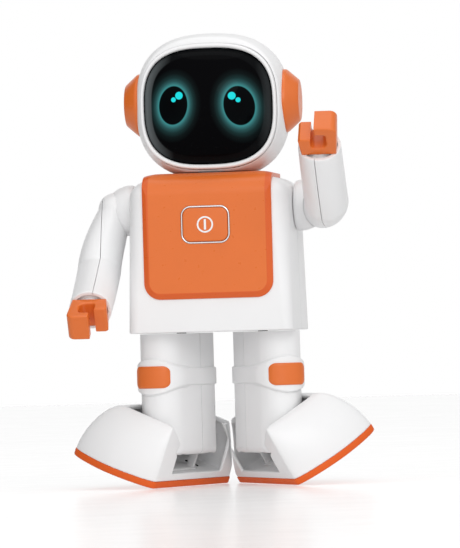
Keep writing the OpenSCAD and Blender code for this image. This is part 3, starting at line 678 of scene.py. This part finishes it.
def arm_ring(t, grown, back=0.0, scale=1.0, count=72):
    """A section of the arm at t, from 0 at the shoulder to 1 at the wrist."""
    lean = math.radians(4 + (FORE_A - 4) * min(1, (t / 0.72) ** 1.3))
    if t < 0.5:
        u = 2 * t
        c = Vector((ELBOW.x - 9.1 * (1 - u) ** 1.6, ELBOW.y * u ** 1.4, 1 + (ELBOW.z - 1) * u))
        wide, deep = 13 - 2.8 * (1 - u) ** 2.5, 13.6
    else:
        u = 2 * t - 1
        c = ELBOW.lerp(WRIST, u) - Vector((0, 0, 3.4 * u * (1 - u)))
        wide, deep = 13 - (13 - WRIST_R) * u, 13.6 - (13.6 - WRIST_R) * u
    ring = []
    for w in span(0, 2 * math.pi, count)[:-1]:
        px, py = (wide + grown) * scale * math.cos(w), (deep + grown) * scale * math.sin(w)
        ring.append((c.x + px, c.y - py * math.cos(lean) + back * math.sin(lean),
                     c.z + py * math.sin(lean) + back * math.cos(lean)))
    return ring


def arm_rings(grown, past=0.0, rim=0.0):
    """Rings of the arm from its domed shoulder down to the wrist, whose edge may be rounded."""
    rings = [arm_ring(0, grown, (10 + grown) * math.sin(a), math.cos(a))
             for a in span(math.radians(87), 0, 14)[:-1]]
    rings += [arm_ring(t, grown) for t in span(0, 1, 48)[:-1]]
    if rim:
        rings += [arm_ring(1, grown - rim * (1 - math.cos(a)), rim * (1 - math.sin(a)))
                  for a in span(0, math.pi / 2, 4)]
    else:
        rings.append(arm_ring(1, grown, -past))
    return rings


def arm_shell(side):
    return combine(solid(arm_rings(0, rim=0.7), in_arm(side)),
                   solid(arm_rings(-ARM_WALL, past=3), in_arm(side)),
                   block(-99, -99, -20, HUB_FACE, 99, 20, in_arm(side)))


def arms():
    for side in SIDES:
        place = in_arm(side)
        outer = half(arm_shell(side), (ARM_SPLIT + 0.05, -150, -150), (99, 99, 99), place)
        piece(outer, "arm_shell_outer_" + side, smooth=40)
        inner = half(arm_shell(side), (-99, -150, -150), (ARM_SPLIT - 0.3, 99, 99), place)
        piece(inner, "arm_shell_inner_" + side, smooth=40)
        shoulder_hub(side)
        hand(side)


def shoulder_hub(side):
    outer = [(0.02, 18.6)] + [(15.2 * math.cos(a) ** 0.8, 4.0 + 14.6 * math.sin(a) ** 1.15)
                              for a in span(math.radians(88), 0, 24)]
    profile = outer + [(15.1, 2.4), (14.6, 1.1), (13.8, 0.5), (0.02, 0.5)]
    hub = lathe(profile, in_shoulder(side) @ turn(90, "Y"))
    sleeve = combine(solid(arm_rings(0.15), in_arm(side)),
                     block(-99, -99, -99, HUB_FACE - 0.1, 99, 99, in_arm(side)))
    bore = slab(squircle(2.95, 2.95, 2, 48), 0, 6, in_shoulder(side) @ SIDEWAYS)
    piece(combine(hub, sleeve, bore), "shoulder_hub_" + side, smooth=40)


def hand_outline():
    """A thick finger whose tip turns inwards over a round pocket, and a short thumb."""
    low = -HAND_L
    return ([(10.2, 0)] + arc(7.2, 4.3 + low, 4.3, 0, -90, 14) + [(-1.4, low), (-1.4, -15.5)]
            + arc(3.2, -13.7, 1.8, -90, 0, 8) + arc(1.4, -8.8, 3.6, 0, 90, 12)
            + arc(-1.8, -7.5, 2.3, 90, 180, 8)
            + [(-4.1, -12.4), (-10.1, -12.4), (-11.4, -11), (-10.2, 0)])


def hand(side):
    place = in_arm(side) @ Matrix.Translation(WRIST) @ turn(90 - FORE_A, "X")
    outline = list(reversed(hand_outline()))
    piece(slab(outline, -HAND_T / 2, HAND_T / 2, place, 1.1, 1.1), "hand_" + side, smooth=40)


# ---------- legs ----------
LEG_W, LEG_LS, LEG_LF, LEG_LB, LEG_N = 26.0, 20.0, 35.2, 17.4, 2.2
LEG_WALL = 1.8
KNEE_Z = 66.1
LEG_TOP = TORSO_LOW - 0.4
LEG_LOW = joint_mm("left_ankle").z - 12.4


def leg_outline(grown, count=48):
    """Round at the front and flat behind, with softened rear corners."""
    x, back, r = LEG_W / 2 + grown, LEG_LB + grown, 3.0
    bulge = LEG_LF - LEG_LS + grown
    front = [(-x * spow(math.cos(t), 2 / LEG_N), -LEG_LS - bulge * math.sin(t) ** (2 / LEG_N))
             for t in span(0, math.pi, count)]
    return (front + [(x, -12), (x, 0)] + arc(x - r, back - r, r, 0, 90, 8)
            + arc(-x + r, back - r, r, 90, 180, 8) + [(-x, 0), (-x, -12)])


def leg_form(grown, low, high, r, side):
    """The leg between two heights, its lower edges rounded across its width."""
    wide = LEG_W / 2 + grown
    rings = []
    for a in span(0, math.pi / 2, 8):
        limit = wide - r * (1 - math.sin(a))
        height = low + r * (1 - math.cos(a))
        rings.append([(max(-limit, min(limit, x)), y, height) for x, y in leg_outline(grown)])
    rings += [[(x, y, z) for x, y in leg_outline(grown)] for z in span(low + r, high, 6)[1:]]
    return solid(rings, in_leg(side))


def leg_shell(side):
    slots = [block(-11, y, LEG_LOW - 1, 8.4, y + 5, LEG_LOW + 3, in_leg(side)) for y in (-20.4, 9.6)]
    return combine(leg_form(0, LEG_LOW, LEG_TOP, 4, side),
                   leg_form(-LEG_WALL, LEG_LOW + LEG_WALL, LEG_TOP + 1, 2.4, side), *slots)


def front_y(x, grown):
    """The leg's front face at x, grown by a distance."""
    share = min(abs(x) / (LEG_W / 2 + grown), 1)
    return -LEG_LS - (LEG_LF - LEG_LS + grown) * (1 - share ** LEG_N) ** (1 / LEG_N)


def smooth_step(edge, width, x):
    t = min(max((edge - x) / width, 0), 1)
    return t * t * (3 - 2 * t)


def knee_band(side):
    """A band round the leg that swells into an oval boss in front, and sinks into the leg above and below."""
    def grown(x, y, z):
        band = 1.5 * smooth_step(5.5, 0.9, abs(z)) ** 0.6
        oval = math.hypot(x / 16.5, z / 11.6) if y < -19 else 9
        boss = 2.4 * smooth_step(1.0, 0.14, oval) ** 0.6
        return max(band, boss) - 0.3

    base = leg_outline(0, 96)
    rings = []
    for z in span(-11.7, 11.7, 78):
        rings.append([(p[0], p[1], KNEE_Z + z) for p in
                      [push(base, i, grown(x, y, z)) for i, (x, y) in enumerate(base)]])
    inner = [[(x, y, KNEE_Z + z) for x, y in inset(base, 0.9)] for z in (11.7, -11.7)]
    piece(solid(rings + inner, in_leg(side), wrap=True), "knee_band_" + side, smooth=50)


def push(outline, i, distance):
    """Point i of an outline moved outwards."""
    here = Vector(outline[i])
    u = Vector(outline[(i + 1) % len(outline)]) - Vector(outline[i - 1])
    return here + Vector((u.y, -u.x)).normalized() * distance


def dense(outline, step):
    """The outline with points added so that none are further apart than a step."""
    points = []
    for i, point in enumerate(outline):
        here, there = Vector(point), Vector(outline[(i + 1) % len(outline)])
        count = max(math.ceil((there - here).length / step), 1)
        points += [tuple(here.lerp(there, k / count)) for k in range(count)]
    return points


def knee_pad(side):
    outline = dense(round_rect(-11.6, -6.6, 11.6, 6.6, 3.6, 12), 0.6)
    section = [(1, 0.6), (1, 2.0), (0.99, 2.35), (0.965, 2.65), (0.92, 2.85), (0.85, 2.95)]
    section += [(s, 2.95) for s in (0.7, 0.5, 0.3, 0.12, 0.01)]
    rings = [[(x * s, front_y(x * s, out), KNEE_Z + z * s) for x, z in outline] for s, out in section]
    rings = [[(x * s, front_y(x * s, 0.6), KNEE_Z + z * s) for x, z in outline] for s in (0.01, 0.5)] + rings
    piece(solid(rings, in_leg(side)), "knee_pad_" + side, smooth=50)


def legs():
    for side in SIDES:
        front = half(leg_shell(side), (-60, -60, 0), (60, -SEAM, 120), in_leg(side))
        piece(front, "leg_shell_front_" + side)
        rear = half(leg_shell(side), (-60, SEAM, 0), (60, 60, 120), in_leg(side))
        piece(rear, "leg_shell_rear_" + side)
        knee_band(side)
        knee_pad(side)


# ---------- shoes ----------
SOLE_W, SOLE_T, INNER = 60.4, 4.2, 14.0
SOLE_X = SOLE_W / 2 - INNER
TOE_Y, TOE_D, HEEL_Y = -44.8, 10.5, 39.2
SOLE_Z = SOLE_T - ANKLE_H       # top face of the sole
RIM_H = 33.5
SHOE_WALL = 2.2
SHOE_GAP = 1.0                  # each shoe's heel stops this far from the plane between the shoes


def sole_outline(grown):
    x, r = SOLE_X + SOLE_W / 2 - grown, 9.0
    front = [(SOLE_X + (SOLE_W / 2 - grown) * spow(math.cos(t), 1.2),
              TOE_Y - (TOE_D - grown) * max(math.sin(t), 0) ** 1.2) for t in span(math.pi, 0, 60)]
    return (arc(x - r, HEEL_Y - grown - r, r, 0, 90, 14)
            + arc(-INNER + grown + 2, HEEL_Y - grown - 2, 2, 90, 180, 8) + front)


def rim_outline(grown):
    front = [(8.7 + (18.7 - grown) * math.cos(t), -37.3 + grown * 0.5 - 0.6 * math.sin(t))
             for t in span(math.pi, 0, 60)]
    return (arc(19.4 - grown, 23 - grown, 8, 0, 90, 14) + arc(-6 + grown, 27 - grown, 4, 90, 180, 8) + front)


def shoe_form(grown, low, high, side):
    """Smooth dome from the sole's outline up to the rim, grown inside the outer skin."""
    base, rim = sole_outline(0.3 + grown), rim_outline(grown)
    rings = []
    for t in span(0, 1, 30):
        w = 1 - (1 - t ** 1.6) ** (1 / 1.6)
        rings.append([(p[0] * (1 - w) + q[0] * w, p[1] * (1 - w) + q[1] * w, low + (high - low) * t)
                      for p, q in zip(base, rim)])
    return solid(rings, in_foot(side))


def shoe_cuts(side):
    z = SOLE_Z
    entry = [(-38.6, z + 60), (-38.6, z + 34), (-27.3, z + 23.8), (-29, z + 4.3), (26.2, z + 4.3),
             (28.3, z + 23.8), (18.6, z + 34), (18.6, z + 60)]
    cuts = [slab(rim_outline(2.0), z + 14, z + 74, in_foot(side)),
            slab(entry, -40, -8, in_foot(side) @ SIDEWAYS)]
    for a in (10, 17, 25, 32):
        leaned = in_foot(side) @ turn(a, "Y") @ shift(-ANKLE_DX, 0, 0)
        cuts.append(slab(leg_outline(0.7, 24), -13, 47, leaned))
    cuts.append(block(1.2, 22.6, z - 1, 11.2, 24.2, z + 3, in_foot(side)))
    cuts.append(block(-60, -90, -10, SHOE_GAP, 90, 90, MM @ flip(side)))
    return cuts


def shoe_upper(side):
    form = combine(shoe_form(0, SOLE_Z, SOLE_Z + RIM_H, side),
                   shoe_form(SHOE_WALL, SOLE_Z + 2, SOLE_Z + RIM_H - 2.4, side), *shoe_cuts(side))
    round_over(form, 0.5, 5)
    piece(form, "shoe_upper_" + side, smooth=60)


def round_over(form, cell, passes):
    """Melts a form's edges: an even mesh of small cells, relaxed a few times."""
    grid = form.modifiers.new("grid", "REMESH")
    grid.mode, grid.voxel_size = "VOXEL", cell / 1000
    relax = form.modifiers.new("relax", "SMOOTH")
    relax.factor, relax.iterations = 0.5, passes
    bake(form)


def sole(side):
    place = in_foot(side)
    form = slab(sole_outline(0), -ANKLE_H, SOLE_Z, place, 1.0, 0.4)
    grooves = [slab(round_rect(-9, y, 42, y + 2.4, 1.1, 4), -ANKLE_H - 1, -ANKLE_H + 0.9, place)
               for y in range(-40, 33, 8)]
    piece(combine(form, *grooves), "sole_" + side, smooth=35)


def shoes():
    for side in SIDES:
        shoe_upper(side)
        sole(side)
        outline = round_rect(1.3, 22.7, 11.1, 24.1, 0.6, 5)
        bar = slab(outline, SOLE_Z + 0.05, SOLE_Z + 2.5, in_foot(side), 0, 0.4)
        piece(bar, "shoe_grommet_" + side)


# ---------- CAD nodes that keep their shape ----------
def carried_nodes():
    """The works inside keep their CAD shape under materials of their own."""
    for node, made in frame["nodes"].items():
        made.data.materials.clear()
        made.data.materials.append(MATERIALS[SLOT_OF[node]])


def softened(*nodes, width=0.4):
    """Stands welded copies with rounded edges in for plain nodes that can be seen from outside."""
    for node in nodes:
        copy = bpy.data.objects.new(node + "_skin", frame["nodes"][node].data.copy())
        copy.matrix_world = frame["nodes"][node].matrix_world
        bpy.context.scene.collection.objects.link(copy)
        clean(copy.data, 1e-5)
        flat = copy.modifiers.new("flat", "DECIMATE")
        flat.decimate_type, flat.angle_limit = "DISSOLVE", math.radians(1)
        bevel = copy.modifiers.new("soft", "BEVEL")
        bevel.width, bevel.segments = width / 1000, 2
        bevel.limit_method, bevel.angle_limit = "ANGLE", math.radians(40)
        bake(copy)
        piece(copy, node, smooth=30)


# ---------- camera, light and floor ----------
CAMERA = dict(azimuth=9.0, elevation=-0.91, roll=1.6, distance=2640.0, focal=4405.0, target=(7.26, 0, 126.66))
IMAGE = (460, 548)


def set_camera():
    a, e, roll = (math.radians(CAMERA[k]) for k in ("azimuth", "elevation", "roll"))
    back = Vector((math.sin(a) * math.cos(e), -math.cos(a) * math.cos(e), math.sin(e)))
    right = Vector((math.cos(a), math.sin(a), 0))
    up = back.cross(right)
    right, up = right * math.cos(roll) - up * math.sin(roll), up * math.cos(roll) + right * math.sin(roll)
    at = (Vector(CAMERA["target"]) + back * CAMERA["distance"]) / 1000
    data = bpy.data.cameras.new("camera")
    data.sensor_width = 36.0
    data.lens = CAMERA["focal"] * data.sensor_width / max(IMAGE)
    data.clip_end = 50.0
    camera = bpy.data.objects.new("camera", data)
    camera.matrix_world = Matrix((right, up, back)).transposed().to_4x4()
    camera.matrix_world.translation = at
    bpy.context.scene.collection.objects.link(camera)
    bpy.context.scene.camera = camera


def area_light(name, at, size, power, colour=(1, 1, 1), target=(0, 0, 0.13)):
    data = bpy.data.lights.new(name, "AREA")
    data.shape, data.size, data.energy, data.color = "DISK", size, power, colour
    light = bpy.data.objects.new(name, data)
    light.location = at
    light.visible_camera = False
    light.rotation_mode = "QUATERNION"
    light.rotation_quaternion = (Vector(at) - Vector(target)).to_track_quat("Z", "Y")
    bpy.context.scene.collection.objects.link(light)


BRIGHT_SIDE = (0.32, -0.78, 0.5)
LIGHT_FALL = (-0.2, 1.0, 0.0, 1.25)      # light level from the dim side to the bright side


def surround():
    """White behind the robot; its light is strong in front and above, and weak behind and below."""
    world = bpy.data.worlds.new("surround")
    bpy.context.scene.world = world
    world.use_nodes = True
    tree = world.node_tree

    def add(kind, links=None, **settings):
        node = tree.nodes.new(kind)
        for key, value in settings.items():
            setattr(node, key, value)
        for key, value in (links or {}).items():
            if isinstance(value, bpy.types.NodeSocket):
                tree.links.new(value, node.inputs[key])
            else:
                node.inputs[key].default_value = value
        return node

    towards = add("ShaderNodeTexCoord").outputs["Generated"]
    bright = Vector(BRIGHT_SIDE).normalized()
    dot = add("ShaderNodeVectorMath", {0: towards, 1: bright}, operation="DOT_PRODUCT")
    fall = dict(zip(("From Min", "From Max", "To Min", "To Max"), LIGHT_FALL))
    level = add("ShaderNodeMapRange", {"Value": dot.outputs["Value"], **fall})
    depth = add("ShaderNodeSeparateXYZ", {"Vector": towards}).outputs["Y"]
    behind = add("ShaderNodeMapRange", {"Value": depth, "From Min": 0.5, "From Max": 0.8})
    seen = add("ShaderNodeLightPath")
    mirrored = add("ShaderNodeMath", {0: behind.outputs["Result"], 1: seen.outputs["Is Glossy Ray"]},
                   operation="MULTIPLY")
    white = add("ShaderNodeMath", {0: mirrored.outputs[0], 1: seen.outputs["Is Camera Ray"]},
                operation="MAXIMUM")
    strength = add("ShaderNodeMix", {"Factor": white.outputs[0], "A": level.outputs["Result"], "B": 1.0})
    back = tree.nodes["Background"]
    back.inputs["Color"].default_value = (1, 1, 1, 1)
    tree.links.new(strength.outputs["Result"], back.inputs["Strength"])


def studio():
    """Soft key and top light, and a pale floor in a white surround."""
    scene = bpy.context.scene
    scene.view_settings.view_transform = "Standard"
    scene.view_settings.look = "None"
    surround()
    area_light("key", (0.45, -1.6, 0.8), 0.8, 4.6)
    area_light("top", (0.0, 0.0, 2.0), 1.4, 5)
    n = fresh("floor_paint")
    n.set(Base_Color=n.mix(n.between(n.noise(6, 3), 0, 1), (0.68, 0.68, 0.68, 1), (0.71, 0.71, 0.71, 1)))
    n.set(Roughness=n.between(n.noise(30, 3), 0.2, 0.23), Specular_IOR_Level=0.5)
    n.set(Emission_Color=(1, 1, 1, 1), Emission_Strength=0.22)
    floor = solid([[(x, y, z) for x, y in squircle(4000, 4000, 2, 128)] for z in (-20, -0.02)], MM)
    floor.name = "floor"
    floor.data.materials.append(n.material)


carried_nodes()
softened("neck_collar", "base_plate", "battery_door", "wrist_plug_left", "wrist_plug_right")
softened("hip_flange_left", "hip_flange_right", "ankle_bracket_left", "ankle_bracket_right", width=0.3)
softened("speaker", "head_screws", "torso_screws", "charge_port", width=0.15)
head_front()
head_rear()
bezel()
visor()
ear_caps()
torso_shells()
chest_panel()
power_button()
arms()
legs()
shoes()
set_camera()
studio()
